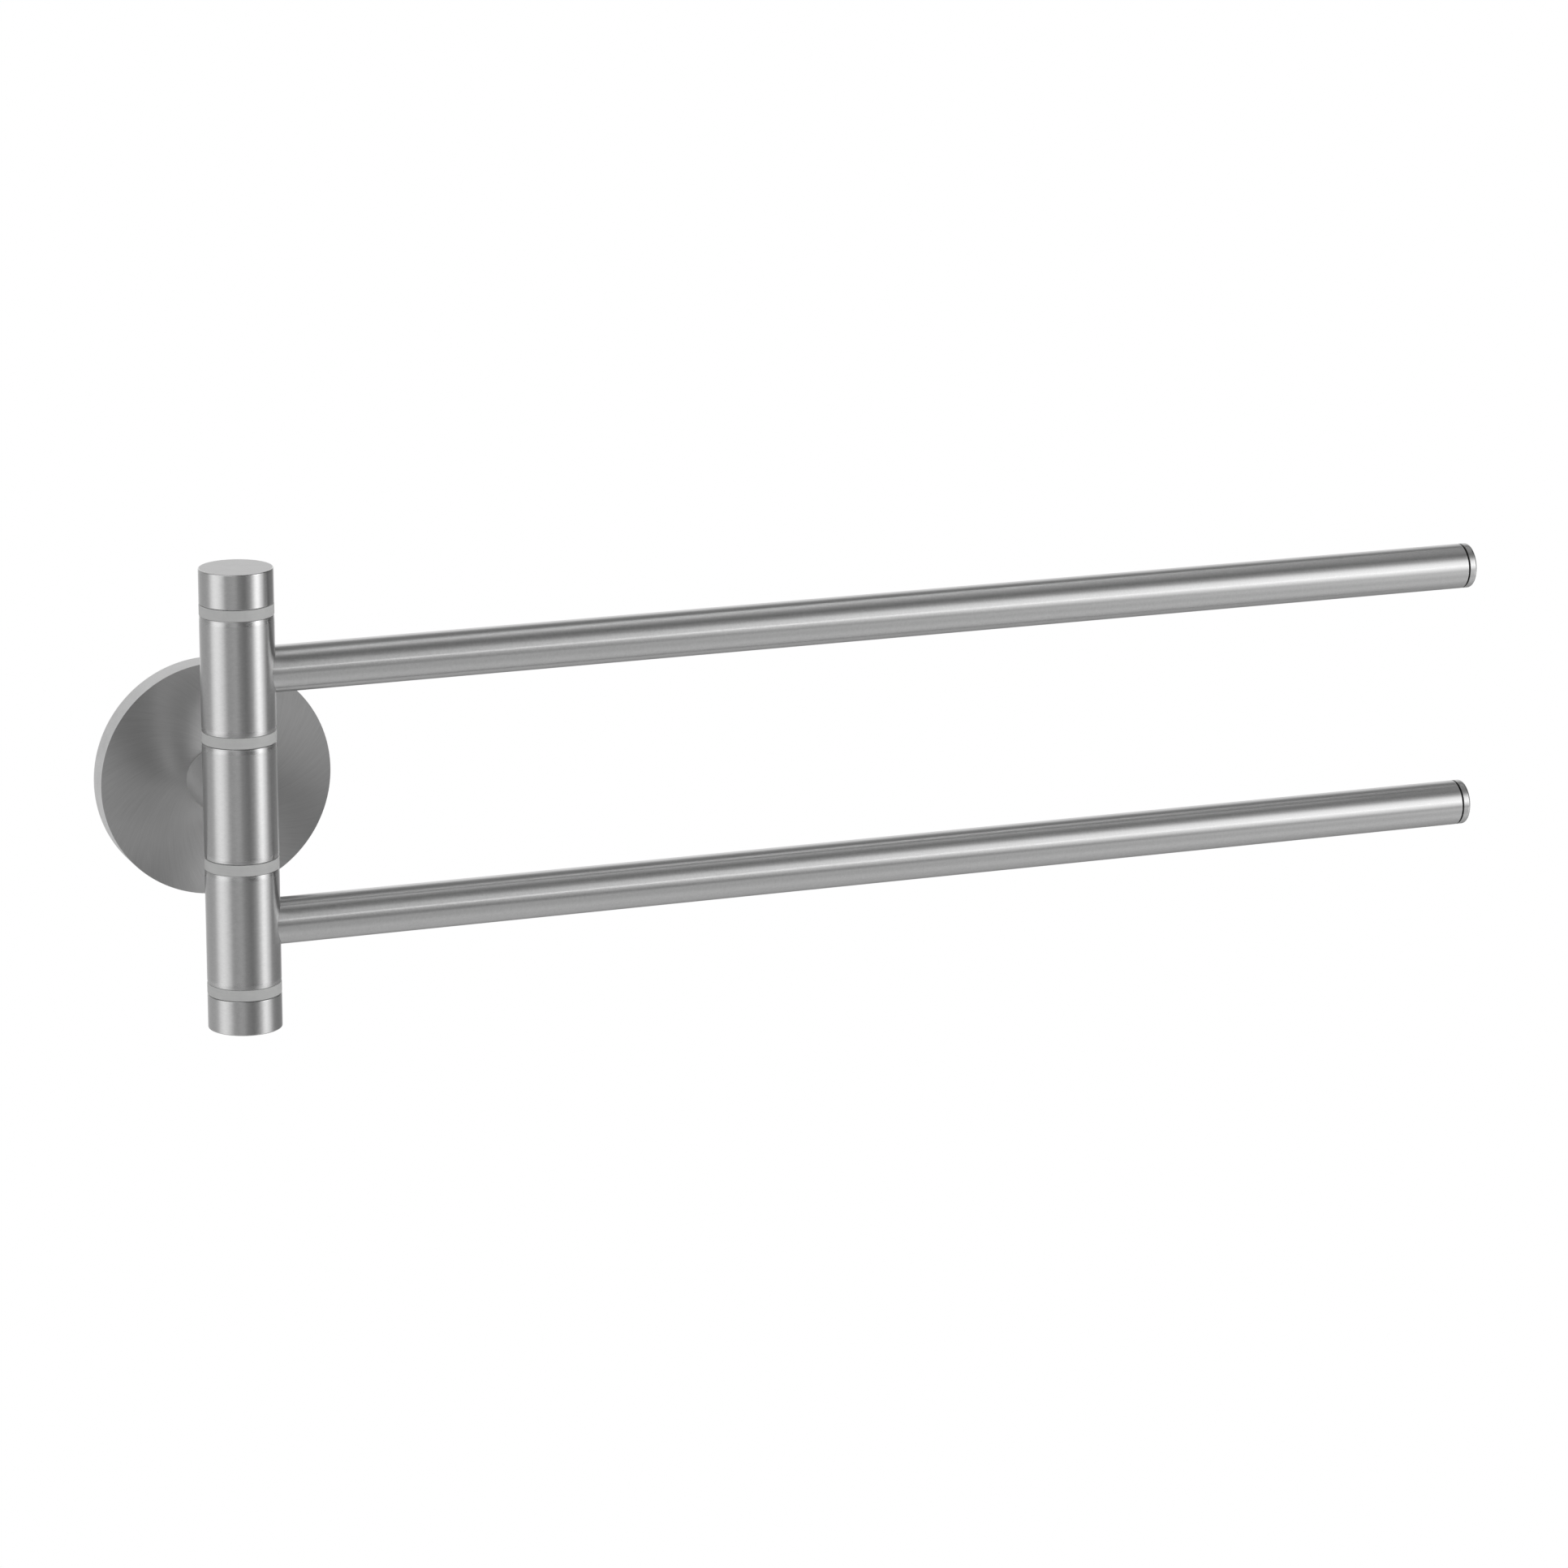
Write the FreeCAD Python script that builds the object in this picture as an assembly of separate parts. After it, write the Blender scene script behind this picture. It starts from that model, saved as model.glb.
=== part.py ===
import FreeCAD
import Part
import math
import os

# Double towel rail for a bathroom wall: two bars swivel about an upright post on a round rosette.
# All sizes are millimetres. The origin is the middle of the wall plate's back face, +Y goes into
# the wall, +Z is up, and +X follows the bars while they lie along the wall.

# Post: five steel lengths of one diameter, with a nylon flange between each two
post_diameter = 19.0
axis_standoff = 29.0
sleeve_height = 30.0
hub_height = 30.0
hub_wall = 2.0
cap_height = 9.0
post_edge_round = 0.25
cap_edge_round = 0.5

# Swivel: a fixed spindle through the post, with flanged bushes in each hub
spindle_diameter = 8.0
spindle_end_round = 0.8
cap_crown = 3.0
bush_flange_thickness = 2.9
bush_flange_round = 0.35
collar_screw_gap = 3.5
swivel_running_clearance = 0.05
swivel_end_clearance = 0.1

# Bars: tube with a coped inner end, screwed to the hub, and capped at the outer end
rail_diameter = 12.0
rail_wall = 1.0
rail_reach = 345.0
rail_end_round = 0.2
rail_plug_length = 14.0
rail_screw_diameter = 4.0
rail_screw_length = 12.0
rail_screw_head_diameter = 7.0
rail_screw_head_height = 1.6
end_cap_thickness = 2.0
end_cap_round = 0.7
end_cap_groove_width = 0.45
end_cap_groove_depth = 0.5
end_cap_spigot_length = 8.0

# Rosette and neck
rosette_diameter = 61.0
rosette_depth = 7.0
rosette_face = 1.5
rosette_rim = 2.2
rosette_edge_round = 0.5
neck_diameter = 16.0
neck_bolt_diameter = 6.0
neck_bolt_tip_gap = 1.0
neck_bolt_head_diameter = 10.5
neck_bolt_head_height = 3.3
neck_bolt_head_round = 1.6

# Wall plate inside the rosette, and the grub screw that locks the two together
plate_front_gap = 1.5
plate_side_clearance = 0.3
plate_eye_diameter = 18.0
screw_hole_diameter = 5.5
screw_hole_spacing = 40.0
screw_sink_diameter = 10.5
grub_diameter = 3.0
grub_inset = 0.3
grub_bite = 1.5

# Fits shared by several pieces
press_clearance = 0.01
thread_clearance = 0.05
bolt_hole_clearance = 0.2
cut_overrun = 1.0

# Places that follow from the sizes above
post_radius = post_diameter / 2
spindle_radius = spindle_diameter / 2
hub_bore_radius = post_radius - hub_wall
rail_radius = rail_diameter / 2
rail_bore_radius = rail_radius - rail_wall
rosette_radius = rosette_diameter / 2
rosette_bore_radius = rosette_radius - rosette_rim
rosette_inside_depth = rosette_depth - rosette_face
plate_radius = rosette_bore_radius - plate_side_clearance
plate_thickness = rosette_inside_depth - plate_front_gap
neck_bolt_radius = neck_bolt_diameter / 2

sleeve_end = sleeve_height / 2
hub_start = sleeve_end + swivel_end_clearance + bush_flange_thickness
hub_end = hub_start + hub_height
rail_level = (hub_start + hub_end) / 2
bush_collar_length = (hub_height - rail_screw_head_diameter) / 2 - collar_screw_gap
cap_start = hub_end + bush_flange_thickness + swivel_end_clearance
cap_end = cap_start + cap_height
spindle_end = cap_end - cap_crown
rail_tube_end = rail_reach - end_cap_thickness - end_cap_groove_width

UP = FreeCAD.Vector(0, 0, 1)
DOWN = FreeCAD.Vector(0, 0, -1)
ALONG_RAIL = FreeCAD.Vector(1, 0, 0)
FROM_WALL = FreeCAD.Vector(0, -1, 0)
INTO_WALL = FreeCAD.Vector(0, 1, 0)

wall_centre = FreeCAD.Vector(0, 0, 0)
post_centre = FreeCAD.Vector(0, -axis_standoff, 0)


def rounded_outline(corners):
    """Closed outline through (radius, station, round) corners, each rounded by a tangent arc."""
    points = [FreeCAD.Vector(radius, 0, station) for radius, station, _ in corners]
    edges = []
    first_entry = None
    last_exit = None
    for index, corner in enumerate(points):
        round_radius = corners[index][2]
        to_before = (points[index - 1] - corner).normalize()
        to_after = (points[(index + 1) % len(points)] - corner).normalize()
        half_angle = to_before.getAngle(to_after) / 2
        trim = round_radius / math.tan(half_angle)
        entry = corner + to_before * trim
        leave = corner + to_after * trim
        if last_exit is None:
            first_entry = entry
        else:
            edges.append(Part.makeLine(last_exit, entry))
        if round_radius > 0:
            bisector = (to_before + to_after).normalize()
            middle = corner + bisector * (round_radius / math.sin(half_angle) - round_radius)
            edges.append(Part.Arc(entry, middle, leave).toShape())
        last_exit = leave
    edges.append(Part.makeLine(last_exit, first_entry))
    return Part.Wire(edges)


def turned(corners, base, direction):
    """Turned piece about the line from base along direction, from (radius, station, round) corners."""
    blank = Part.Face(rounded_outline(corners)).revolve(wall_centre, UP, 360)
    blank.Placement = FreeCAD.Placement(base, FreeCAD.Rotation(UP, direction))
    return blank


def rod(radius, start, direction, length):
    """Plain round bar or drill."""
    return Part.makeCylinder(radius, length, start, direction)


def post_core(radius):
    """Bar about the post's axis that reaches past both caps."""
    reach = cap_end + cut_overrun
    return rod(radius, post_centre + DOWN * reach, UP, 2 * reach)


def wall_plate():
    """Plate on the wall: a middle eye, two countersunk screw holes, a dimple for the grub screw."""
    eye_radius = plate_eye_diameter / 2
    plate = turned(
        [
            (eye_radius, 0, 0),
            (plate_radius, 0, 0),
            (plate_radius, plate_thickness, 0),
            (eye_radius, plate_thickness, 0),
        ],
        wall_centre,
        FROM_WALL,
    )
    hole_radius = screw_hole_diameter / 2
    sink_radius = screw_sink_diameter / 2
    sink_depth = sink_radius - hole_radius
    for side in (-1, 1):
        middle = ALONG_RAIL * (side * screw_hole_spacing / 2)
        drill_length = plate_thickness + 2 * cut_overrun
        plate = plate.cut(rod(hole_radius, middle + INTO_WALL * cut_overrun, FROM_WALL, drill_length))
        plate = plate.cut(
            turned(
                [
                    (0, plate_thickness - sink_depth, 0),
                    (hole_radius, plate_thickness - sink_depth, 0),
                    (sink_radius, plate_thickness, 0),
                    (sink_radius, plate_thickness + cut_overrun, 0),
                    (0, plate_thickness + cut_overrun, 0),
                ],
                middle,
                FROM_WALL,
            )
        )
    dimple = rod(
        grub_diameter / 2 + thread_clearance,
        FROM_WALL * (plate_thickness / 2) + DOWN * (plate_radius - grub_bite),
        DOWN,
        grub_bite + cut_overrun,
    )
    return plate.cut(dimple)


def rosette():
    """Turned cup over the wall plate, with a bolt hole in its face and a tapped hole in its rim."""
    bolt_hole_radius = neck_bolt_radius + bolt_hole_clearance
    cup = turned(
        [
            (bolt_hole_radius, rosette_inside_depth, 0),
            (rosette_bore_radius, rosette_inside_depth, 0),
            (rosette_bore_radius, 0, 0),
            (rosette_radius, 0, 0),
            (rosette_radius, rosette_depth, rosette_edge_round),
            (bolt_hole_radius, rosette_depth, 0),
        ],
        wall_centre,
        FROM_WALL,
    )
    tapped_hole = rod(
        grub_diameter / 2 + thread_clearance,
        FROM_WALL * (plate_thickness / 2) + DOWN * plate_radius,
        DOWN,
        rosette_radius - plate_radius + cut_overrun,
    )
    return cup.cut(tapped_hole)


def rosette_grub_screw():
    """Set screw from below, through the rosette's rim into the plate's dimple."""
    inner_end = plate_radius - grub_bite
    outer_end = rosette_radius - grub_inset
    start = FROM_WALL * (plate_thickness / 2) + DOWN * inner_end
    return rod(grub_diameter / 2, start, DOWN, outer_end - inner_end)


def neck():
    """Round spacer from the rosette's face, coped to the middle sleeve and drilled for its bolt."""
    start = FROM_WALL * rosette_depth
    length = axis_standoff - rosette_depth
    spacer = rod(neck_diameter / 2, start, FROM_WALL, length)
    bolt_way = rod(neck_bolt_radius + bolt_hole_clearance, start, FROM_WALL, length)
    return spacer.cut(bolt_way).cut(post_core(post_radius + press_clearance))


def neck_bolt():
    """Round-headed bolt from inside the rosette into the middle sleeve, short of the spindle."""
    head_radius = neck_bolt_head_diameter / 2
    head_top = rosette_inside_depth - neck_bolt_head_height
    tip = axis_standoff - spindle_radius - neck_bolt_tip_gap
    return turned(
        [
            (0, head_top, 0),
            (head_radius, head_top, neck_bolt_head_round),
            (head_radius, rosette_inside_depth, 0),
            (neck_bolt_radius, rosette_inside_depth, 0),
            (neck_bolt_radius, tip, 0),
            (0, tip, 0),
        ],
        wall_centre,
        FROM_WALL,
    )


def middle_sleeve():
    """Fixed middle of the post: bored for the spindle, tapped from behind for the neck bolt."""
    bore_radius = spindle_radius + press_clearance
    sleeve = turned(
        [
            (bore_radius, -sleeve_end, 0),
            (post_radius, -sleeve_end, post_edge_round),
            (post_radius, sleeve_end, post_edge_round),
            (bore_radius, sleeve_end, 0),
        ],
        post_centre,
        UP,
    )
    tapped_hole = rod(neck_bolt_radius + thread_clearance, wall_centre, FROM_WALL, axis_standoff)
    return sleeve.cut(tapped_hole)


def spindle():
    """Rod through the whole post, with a cap screwed on each end."""
    return turned(
        [
            (0, -spindle_end, 0),
            (spindle_radius, -spindle_end, spindle_end_round),
            (spindle_radius, spindle_end, spindle_end_round),
            (0, spindle_end, 0),
        ],
        post_centre,
        UP,
    )


def cap(outward):
    """Cap with a blind tapped hole, screwed on the spindle's end."""
    thread_radius = spindle_radius + thread_clearance
    return turned(
        [
            (0, spindle_end, 0),
            (thread_radius, spindle_end, 0),
            (thread_radius, cap_start, 0),
            (post_radius, cap_start, post_edge_round),
            (post_radius, cap_end, cap_edge_round),
            (0, cap_end, 0),
        ],
        post_centre,
        outward,
    )


def hub(outward):
    """Turning length of the post: a short tube with a side hole for the rail screw."""
    tube = turned(
        [
            (hub_bore_radius, hub_start, 0),
            (post_radius, hub_start, post_edge_round),
            (post_radius, hub_end, post_edge_round),
            (hub_bore_radius, hub_end, 0),
        ],
        post_centre,
        outward,
    )
    rail_centre = post_centre + outward * rail_level
    side_hole = rod(
        rail_screw_diameter / 2 + bolt_hole_clearance,
        rail_centre,
        ALONG_RAIL,
        post_radius + cut_overrun,
    )
    return tube.cut(side_hole)


def bush(outward, hub_face, into_hub):
    """Flanged bush: the collar is pressed into the hub's end and runs on the spindle."""
    bore_radius = spindle_radius + swivel_running_clearance
    collar_radius = hub_bore_radius - press_clearance
    flange_face = hub_face - into_hub * bush_flange_thickness
    collar_end = hub_face + into_hub * bush_collar_length
    return turned(
        [
            (bore_radius, flange_face, 0),
            (post_radius, flange_face, bush_flange_round),
            (post_radius, hub_face, bush_flange_round),
            (collar_radius, hub_face, 0),
            (collar_radius, collar_end, 0),
            (bore_radius, collar_end, 0),
        ],
        post_centre,
        outward,
    )


def rail(outward):
    """Straight tube, coped to the hub at its inner end."""
    tube = turned(
        [
            (rail_bore_radius, 0, 0),
            (rail_radius, 0, 0),
            (rail_radius, rail_tube_end, rail_end_round),
            (rail_bore_radius, rail_tube_end, 0),
        ],
        post_centre + outward * rail_level,
        ALONG_RAIL,
    )
    return tube.cut(post_core(post_radius + press_clearance))


def rail_plug(outward):
    """Tapped plug in the tube's inner end, coped to the hub like the tube itself."""
    rail_centre = post_centre + outward * rail_level
    length = post_radius + rail_plug_length
    plug = rod(rail_bore_radius - press_clearance, rail_centre, ALONG_RAIL, length)
    tapped_hole = rod(rail_screw_diameter / 2 + thread_clearance, rail_centre, ALONG_RAIL, length)
    return plug.cut(tapped_hole).cut(post_core(post_radius + press_clearance))


def rail_screw(outward):
    """Screw from inside the hub, its thin head rounded underneath to bed in the hub's bore."""
    rail_centre = post_centre + outward * rail_level
    head_start = hub_bore_radius - rail_screw_head_height
    head = rod(
        rail_screw_head_diameter / 2,
        rail_centre + ALONG_RAIL * head_start,
        ALONG_RAIL,
        rail_screw_head_height,
    )
    bedded_head = head.common(post_core(hub_bore_radius - press_clearance))
    shank = rod(
        rail_screw_diameter / 2,
        rail_centre + ALONG_RAIL * head_start,
        ALONG_RAIL,
        rail_screw_head_height + rail_screw_length,
    )
    return bedded_head.fuse(shank).removeSplitter()


def rail_end_cap(outward):
    """Cap pressed into the tube's outer end, set off from it by a narrow shadow groove."""
    spigot_radius = rail_bore_radius - press_clearance
    groove_radius = rail_radius - end_cap_groove_depth
    spigot_end = rail_tube_end - end_cap_spigot_length
    head_start = rail_tube_end + end_cap_groove_width
    return turned(
        [
            (0, spigot_end, 0),
            (spigot_radius, spigot_end, 0),
            (spigot_radius, rail_tube_end, 0),
            (groove_radius, rail_tube_end, 0),
            (groove_radius, head_start, 0),
            (rail_radius, head_start, 0),
            (rail_radius, rail_reach, end_cap_round),
            (0, rail_reach, 0),
        ],
        post_centre + outward * rail_level,
        ALONG_RAIL,
    )


def arm(name, outward, top_is_outer):
    """All the pieces that swing with one bar, by node name."""
    outer_end, inner_end = ("top", "bottom") if top_is_outer else ("bottom", "top")
    return {
        name + "_hub": hub(outward),
        name + "_hub_" + inner_end + "_bush": bush(outward, hub_start, 1),
        name + "_hub_" + outer_end + "_bush": bush(outward, hub_end, -1),
        name + "_rail": rail(outward),
        name + "_rail_plug": rail_plug(outward),
        name + "_rail_screw": rail_screw(outward),
        name + "_rail_end_cap": rail_end_cap(outward),
    }


nodes = {
    "wall_plate": wall_plate(),
    "rosette": rosette(),
    "rosette_grub_screw": rosette_grub_screw(),
    "neck": neck(),
    "neck_bolt": neck_bolt(),
    "middle_sleeve": middle_sleeve(),
    "spindle": spindle(),
    "top_cap": cap(UP),
    "bottom_cap": cap(DOWN),
}
nodes.update(arm("upper", UP, True))
nodes.update(arm("lower", DOWN, False))

os.makedirs("parts", exist_ok=True)
for node, shape in nodes.items():
    shape.exportStep("parts/" + node + ".step")
    print(node, "solids", len(shape.Solids), "valid", shape.isValid(), "volume", round(shape.Volume, 2))
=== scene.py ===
# %% [markdown]
# # A double towel rail, dressed in Blender
# The towel rail is a small machine: two bars swing about an upright post, and a round rosette hides the
# plate that holds the post to the wall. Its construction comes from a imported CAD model. A script could
# model all of it again, but this one loads that model as a fixed frame, so what is made here fits it
# and moves as it does. The cells below give each piece that shows a smooth mesh and a finish of its
# own.

# %% Load the frame
import math

import bmesh
import bpy
from mathutils import Matrix, Vector


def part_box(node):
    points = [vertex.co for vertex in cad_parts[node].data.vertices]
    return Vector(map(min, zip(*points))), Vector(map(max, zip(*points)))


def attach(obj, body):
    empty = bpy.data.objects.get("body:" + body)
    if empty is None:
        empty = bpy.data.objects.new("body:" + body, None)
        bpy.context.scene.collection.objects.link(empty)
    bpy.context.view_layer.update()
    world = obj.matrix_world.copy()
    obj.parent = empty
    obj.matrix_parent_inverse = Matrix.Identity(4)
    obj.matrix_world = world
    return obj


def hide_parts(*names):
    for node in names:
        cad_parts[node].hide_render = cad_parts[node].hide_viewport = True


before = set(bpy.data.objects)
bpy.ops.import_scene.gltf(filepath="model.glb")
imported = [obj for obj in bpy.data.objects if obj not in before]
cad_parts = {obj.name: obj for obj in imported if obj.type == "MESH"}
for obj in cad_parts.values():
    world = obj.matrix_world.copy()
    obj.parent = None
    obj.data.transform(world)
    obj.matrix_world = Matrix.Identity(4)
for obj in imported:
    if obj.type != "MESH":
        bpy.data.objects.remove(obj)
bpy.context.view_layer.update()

# %% [markdown]
# ## Sizes from the frame
# Post, bars and rosette are all turned shapes, so a radius and a few stations along an axis say what
# each one is. The numbers could be typed in again, but two copies of a size soon disagree, so they are
# read from the boxes of the CAD nodes. What a box can't tell, such as a bore or the round of an edge,
# is a named value in millimetres beside its piece.

# %% Read the main sizes
MM = 0.001
SIZE_DIGITS = 2
X, Y, Z = 0, 1, 2
RIGHT = Vector((1, 0, 0))
INTO_WALL = Vector((0, 1, 0))
FROM_WALL = Vector((0, -1, 0))
UP = Vector((0, 0, 1))
DOWN = Vector((0, 0, -1))


def snapped(value):
    """A size to a hundredth of a millimetre, which takes out the facets of the CAD mesh."""
    return round(value / MM, SIZE_DIGITS) * MM


def span(node, axis):
    """Lowest and highest place of a CAD node along one axis."""
    low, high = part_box(node)
    return snapped(low[axis]), snapped(high[axis])


def half_width(node, axis):
    """Half the size of a CAD node along one axis: the radius of a turned piece."""
    low, high = span(node, axis)
    return snapped((high - low) / 2)


post_centre = Vector((0, sum(span("spindle", Y)) / 2, 0))
post_radius = half_width("middle_sleeve", X)
spindle_radius = half_width("spindle", X)
rail_radius = half_width("upper_rail", Z)
rosette_radius = half_width("rosette", X)
rosette_depth = -span("rosette", Y)[0]
print("post radius", post_radius, "bar radius", rail_radius, "rosette radius", rosette_radius)

# %% [markdown]
# ## Finishes as node trees
# Ground steel, blasted steel, nylon and zinc differ less in colour than in the way they scatter light.
# Pictures of them could be wrapped round the pieces, but those repeat, and they blur close up. So each
# finish is a tree of nodes, which works out its pattern at every point. A few helpers keep such trees
# short in a script: one adds a node and fills its inputs, and others stand for one common node each.

# %% Helpers for nodes
def fill(tree, node, inputs):
    """Fills a node's inputs: another node's output is linked, and anything else is set as the value."""
    for name, value in inputs.items():
        if isinstance(value, bpy.types.NodeSocket):
            tree.links.new(value, node.inputs[name])
        else:
            node.inputs[name].default_value = value


def add(tree, kind, inputs=None, **properties):
    """Adds a node, sets its properties, and fills its inputs."""
    node = tree.nodes.new(kind)
    for name, value in properties.items():
        setattr(node, name, value)
    fill(tree, node, inputs or {})
    return node


def calculate(tree, operation, first, second=0.0):
    """Output of a Math node."""
    return add(tree, "ShaderNodeMath", {0: first, 1: second}, operation=operation).outputs[0]


def mixed(tree, share, first, second):
    """A number between two others."""
    return add(tree, "ShaderNodeMix", {"Factor": share, "A": first, "B": second}).outputs[0]


def parts_of(tree, vector):
    """The X, Y and Z outputs of a vector."""
    return add(tree, "ShaderNodeSeparateXYZ", {0: vector}).outputs


def spread(tree, value, low, high, start=0.0, end=1.0):
    """Output of a Map Range node that takes start..end to low..high."""
    ranges = {"From Min": start, "From Max": end, "To Min": low, "To Max": high}
    return add(tree, "ShaderNodeMapRange", {"Value": value, **ranges}).outputs["Result"]


print("node and socket names are those of Blender", bpy.app.version_string)

# %% [markdown]
# ## Scratches that close round a piece
# Tube for such rails is ground on a belt while it turns, which leaves very fine scratches round it.
# They could be cut into the mesh, but there are thousands of them, so they are noise drawn out along
# the scratches. Each turned piece gets a UV map named brush, with u once round it and v in metres along
# its outline. The noise reads the sine and cosine of u, so it meets itself without a seam.

# %% Noise drawn out round a piece
BRUSH = "brush"
FINE_SCRATCHES = {"around": 14.0, "across": 9000.0, "detail": 4.0}
COARSE_SCRATCHES = {"around": 7.0, "across": 1500.0, "detail": 3.0}


def brush_place(tree):
    """Angle round a turned piece, and metres along its outline, from the brush map."""
    place = parts_of(tree, add(tree, "ShaderNodeUVMap", uv_map=BRUSH).outputs[0])
    return calculate(tree, "MULTIPLY", place["X"], math.tau), place["Y"]


def scratches(tree, turn, along, around, across, detail):
    """Noise on a turn and a length along the outline; around and across say how fine it is each way."""
    round_x = calculate(tree, "MULTIPLY", calculate(tree, "COSINE", turn), around)
    round_y = calculate(tree, "MULTIPLY", calculate(tree, "SINE", turn), around)
    length = calculate(tree, "MULTIPLY", along, across)
    place = add(tree, "ShaderNodeCombineXYZ", {0: round_x, 1: round_y, 2: length}).outputs[0]
    inputs = {"Vector": place, "Scale": 1.0, "Detail": detail}
    return add(tree, "ShaderNodeTexNoise", inputs).outputs["Fac"]


print("scratch layers", FINE_SCRATCHES, COARSE_SCRATCHES)

# %% [markdown]
# ## Ground metal
# Grinding changes three things together: tone and roughness differ a little from scratch to scratch,
# and the surface is finely ridged. Three textures could do that, but they wouldn't line up, so the same
# noise drives all three. Use changes the metal too: hands and cloths polish rounded edges. Seams get
# painted shade, a darker colour where little light gets in. Each mesh says where, with an edge
# attribute that is 1 on rounded edges, -1 in seams and 0 elsewhere.

# %% From scratches to metal
EDGE = "edge"
NOISE_LOW, NOISE_HIGH = 0.3, 0.7
COARSE_SHARE = 0.45
TONE_STREAK = 0.08
ROUGHNESS_STREAK = 0.10
# Share of the metal's tone that painted shade leaves in seams.
PAINTED_SEAM_SHADE = 0.1
EDGE_POLISH = 0.8
GRAIN_HEIGHT = 0.004 * MM
GRAIN_STRENGTH = 0.2


def noise_spread(tree, noise, low, high):
    """Takes the range that nearly all of a noise lies in to low..high."""
    return spread(tree, noise, low, high, NOISE_LOW, NOISE_HIGH)


def bumped(tree, shader, texture, height, strength=GRAIN_STRENGTH):
    """Lets a texture raise a shader's surface by up to a height."""
    bump = add(tree, "ShaderNodeBump", {"Strength": strength, "Distance": height, "Height": texture})
    fill(tree, shader, {"Normal": bump.outputs["Normal"]})


def ground_metal(tree, shader, fine, coarse, tone, roughness):
    """Joins two layers of scratches to a metal shader's colour, roughness and bump."""
    both = mixed(tree, COARSE_SHARE, fine, coarse)
    edge = add(tree, "ShaderNodeAttribute", attribute_name=EDGE).outputs["Fac"]
    darkest, brightest = tone * (1 - TONE_STREAK), tone * (1 + TONE_STREAK)
    streaks = noise_spread(tree, both, darkest, brightest)
    # Painted shade: the colour darkens in seams, where the edge attribute is -1.
    painted_seam_shade = spread(tree, edge, PAINTED_SEAM_SHADE, 1.0, -1.0, 0.0)
    smoothest, roughest = roughness * (1 - ROUGHNESS_STREAK), roughness * (1 + ROUGHNESS_STREAK)
    rough = noise_spread(tree, both, smoothest, roughest)
    polish = spread(tree, edge, 1.0, EDGE_POLISH)
    inputs = {
        "Base Color": calculate(tree, "MULTIPLY", streaks, painted_seam_shade),
        "Roughness": calculate(tree, "MULTIPLY", rough, polish),
        "Metallic": 1.0,
    }
    fill(tree, shader, inputs)
    bumped(tree, shader, fine, GRAIN_HEIGHT)


print("grain height mm", round(GRAIN_HEIGHT / MM, 4), "polish on edges", EDGE_POLISH)

# %% [markdown]
# ## Brushed stainless steel
# Scratches scatter light along the tube and hardly at all round it, so a lamp shows on it as a long
# bright band. Bump as fine as that would only turn to noise in a picture. A glossy shader with
# anisotropy draws the band itself, if it knows which way the scratches run, and the Tangent node reads
# that from the brush map. A quarter turn lays the long side of the highlight across the scratches.

# %% The brushed steel finish
STRETCH = 0.90
QUARTER_TURN = 0.25
BRUSHED_TONE = 0.62
BRUSHED_ROUGHNESS = 0.32


def blank_finish(name):
    """A new material, with its node tree and its Principled shader."""
    material = bpy.data.materials.new(name)
    material.use_nodes = True
    return material, material.node_tree, material.node_tree.nodes["Principled BSDF"]


def aim_scratches(tree, shader, uv_map):
    """Stretches the shader's highlight square to scratches that follow a UV map's u."""
    tangent = add(tree, "ShaderNodeTangent", direction_type="UV_MAP", uv_map=uv_map).outputs[0]
    inputs = {"Tangent": tangent, "Anisotropic": STRETCH, "Anisotropic Rotation": QUARTER_TURN}
    fill(tree, shader, inputs)


def brushed_steel():
    """Belt-ground steel: scratches a few millimetres long and under a tenth of one wide."""
    material, tree, shader = blank_finish("brushed_steel_finish")
    turn, along = brush_place(tree)
    fine = scratches(tree, turn, along, **FINE_SCRATCHES)
    coarse = scratches(tree, turn, along, **COARSE_SCRATCHES)
    ground_metal(tree, shader, fine, coarse, BRUSHED_TONE, BRUSHED_ROUGHNESS)
    aim_scratches(tree, shader, BRUSH)
    return material


steel = brushed_steel()
print("finish", steel.name, "nodes", len(steel.node_tree.nodes))

# %% [markdown]
# ## The rosette's face
# The face of the rosette is ground flat on a spinning disc, which leaves arcs that sweep out from the
# middle at about 36 degrees to the radius. That is why its sheen opens like a fan. The arcs could be
# drawn one by one as curves, but a formula is shorter. Along a logarithmic spiral, the angle less a
# constant times the logarithm of the radius stays the same, and noise drawn on that number follows the
# arcs. The tangent comes from a map of its own, made with the rosette.

# %% The swirled steel finish
SWIRL = "swirl"
FINE_ARCS = {"around": 110.0, "across": 260.0, "detail": 4.0}
COARSE_ARCS = {"around": 26.0, "across": 90.0, "detail": 3.0}
SWIRLED_TONE = 0.63
SWIRLED_ROUGHNESS = 0.48
swirl_angle = math.radians(36)


def swirled_steel():
    """Disc-ground steel with spiral scratches about the Y axis."""
    material, tree, shader = blank_finish("swirled_steel_finish")
    place = parts_of(tree, add(tree, "ShaderNodeTexCoord").outputs["Object"])
    across, up = place["X"], place["Z"]
    across_square = calculate(tree, "MULTIPLY", across, across)
    up_square = calculate(tree, "MULTIPLY", up, up)
    radius = calculate(tree, "SQRT", calculate(tree, "ADD", across_square, up_square))
    log_radius = calculate(tree, "LOGARITHM", radius, math.e)
    twist = calculate(tree, "MULTIPLY", log_radius, math.tan(swirl_angle))
    turn = calculate(tree, "SUBTRACT", calculate(tree, "ARCTAN2", up, across), twist)
    fine = scratches(tree, turn, radius, **FINE_ARCS)
    coarse = scratches(tree, turn, radius, **COARSE_ARCS)
    ground_metal(tree, shader, fine, coarse, SWIRLED_TONE, SWIRLED_ROUGHNESS)
    aim_scratches(tree, shader, SWIRL)
    return material


swirled = swirled_steel()
print("finish", swirled.name, "swirl degrees", round(math.degrees(swirl_angle)))

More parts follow.
